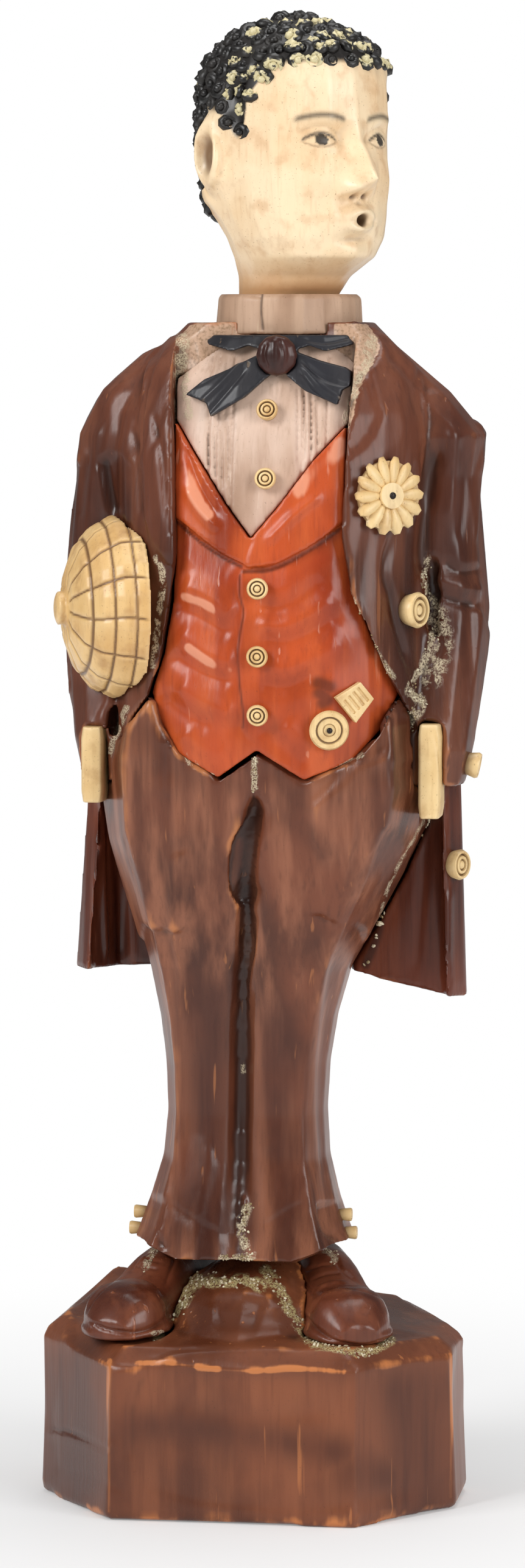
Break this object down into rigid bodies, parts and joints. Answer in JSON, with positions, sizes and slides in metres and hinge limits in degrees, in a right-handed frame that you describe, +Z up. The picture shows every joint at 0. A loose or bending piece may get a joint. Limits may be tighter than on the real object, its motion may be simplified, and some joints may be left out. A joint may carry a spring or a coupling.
{
  "type": "whistler automaton",
  "caption": "Carved wooden standing gentleman on a hewn block, with a clockwork whistle and bellows in the trunk, a winding key behind and a head that turns in its collar.",
  "frame": {"origin": "middle of the base block's underside", "axes": "+Z up, the figure's front faces -Y, +X is its left-hand side"},
  "size_m": [0.1148, 0.0963, 0.3773],
  "materials": {
    "base": "stained and varnished carved wood",
    "coat": "dark brown stained carved wood",
    "trousers": "brown stained carved wood",
    "waistcoat": "orange-red painted carved wood",
    "shirt": "grey-beige stained carved wood",
    "tie": "blue-black painted carved wood",
    "bone": "aged bone",
    "head": "aged bone with painted hair",
    "brass": "aged brass",
    "steel": "dull steel",
    "board": "plain wood",
    "leather": "soft leather"
  },
  "bodies": {
    "figure": {"base_block": "base", "tie_knot": "base", "coat": "coat", "back_cover": "coat", "coat_tail_left": "coat", "coat_tail_right": "coat", "shoe_left": "coat", "shoe_right": "coat", "trousers": "trousers", "waistcoat": "waistcoat", "shirt_front": "shirt", "collar": "shirt", "bow_tie": "tie", "hat": "bone", "hand_left": "bone", "hand_right": "bone", "rosette": "bone", "watch_case": "bone", "watch_fob": "bone", "shirt_button_upper": "bone", "shirt_button_lower": "bone", "waistcoat_button_top": "bone", "waistcoat_button_middle": "bone", "waistcoat_button_bottom": "bone", "coat_button": "bone", "cuff_button": "bone", "tail_button": "bone", "ankle_button_left_upper": "bone", "ankle_button_left_lower": "bone", "ankle_button_right_upper": "bone", "ankle_button_right_lower": "bone", "front_plate": "brass", "rear_plate": "brass", "whistle": "brass", "pillar_1": "steel", "pillar_2": "steel", "pillar_3": "steel", "cover_screw_1": "steel", "cover_screw_2": "steel", "bellows_top": "board", "bellows_leather": "leather"},
    "winding": {"winding_arbor": "steel", "winding_key": "brass"},
    "click": {"click": "steel"},
    "barrel": {"spring_barrel": "brass", "mainspring": "steel"},
    "cam": {"cam_arbor": "steel", "cam_wheel": "brass", "tune_cam": "brass"},
    "crank": {"crank_arbor": "steel", "crank_wheel": "brass"},
    "fly": {"fly": "brass"},
    "bellows": {"bellows_board": "board"},
    "rod": {"bellows_rod": "steel"},
    "follower": {"follower_lever": "steel"},
    "piston": {"piston": "steel"},
    "head": {"head": "head", "head_spindle": "steel"},
    "stop": {"stop_lever": "steel"}
  },
  "joints": [
    {"name": "key_wind", "type": "hinge", "parent": "figure", "child": "winding", "pos_m": [0.0055, 0, 0.2144], "axis": [0, 1, 0], "continuous": true},
    {"name": "click_lift", "type": "hinge", "parent": "figure", "child": "click", "pos_m": [0.0175, 0, 0.2105], "axis": [0, 1, 0], "range_deg": [0, 25]},
    {"name": "barrel_spin", "type": "hinge", "parent": "figure", "child": "barrel", "pos_m": [0.0055, 0, 0.2144], "axis": [0, 1, 0], "continuous": true},
    {"name": "cam_spin", "type": "hinge", "parent": "figure", "child": "cam", "pos_m": [0.01234, 0, 0.23319], "axis": [0, 1, 0], "continuous": true},
    {"name": "crank_spin", "type": "hinge", "parent": "figure", "child": "crank", "pos_m": [-0.0045, 0, 0.23022], "axis": [0, 1, 0], "continuous": true},
    {"name": "fly_spin", "type": "hinge", "parent": "figure", "child": "fly", "pos_m": [-0.0105, 0, 0.24062], "axis": [0, 1, 0], "continuous": true},
    {"name": "bellows_pump", "type": "hinge", "parent": "figure", "child": "bellows", "pos_m": [-0.006, -0.0144, 0.283], "axis": [1, 0, 0], "range_deg": [-4, 4], "deforming": ["bellows_leather"]},
    {"name": "rod_swing", "type": "hinge", "parent": "bellows", "child": "rod", "pos_m": [-0.0045, 0.01453, 0.26881], "axis": [1, 0, 0], "range_deg": [-5, 5]},
    {"name": "follower_swing", "type": "hinge", "parent": "figure", "child": "follower", "pos_m": [0.0215, 0, 0.254], "axis": [0, 1, 0], "range_deg": [0, 9]},
    {"name": "piston_slide", "type": "slide", "parent": "figure", "child": "piston", "axis": [1, 0, 0], "range_m": [0, 0.004]},
    {"name": "head_turn", "type": "hinge", "parent": "figure", "child": "head", "pos_m": [0.0088, 0, 0.2963], "axis": [0, 0, 1], "range_deg": [-80, 10]},
    {"name": "stop_turn", "type": "hinge", "parent": "figure", "child": "stop", "pos_m": [-0.01447, 0, 0.22558], "axis": [0, 1, 0], "range_deg": [0, 35]}
  ],
  "couplings": [
    {"joint": "barrel_spin", "follows": "cam_spin", "ratio": -0.25},
    {"joint": "crank_spin", "follows": "cam_spin", "ratio": -2.8},
    {"joint": "fly_spin", "follows": "cam_spin", "ratio": 8.4},
    {"joint": "rod_swing", "follows": "bellows_pump", "ratio": -1},
    {"joint": "follower_swing", "follows": "piston_slide", "rad_per_m": 39.216}
  ]
}
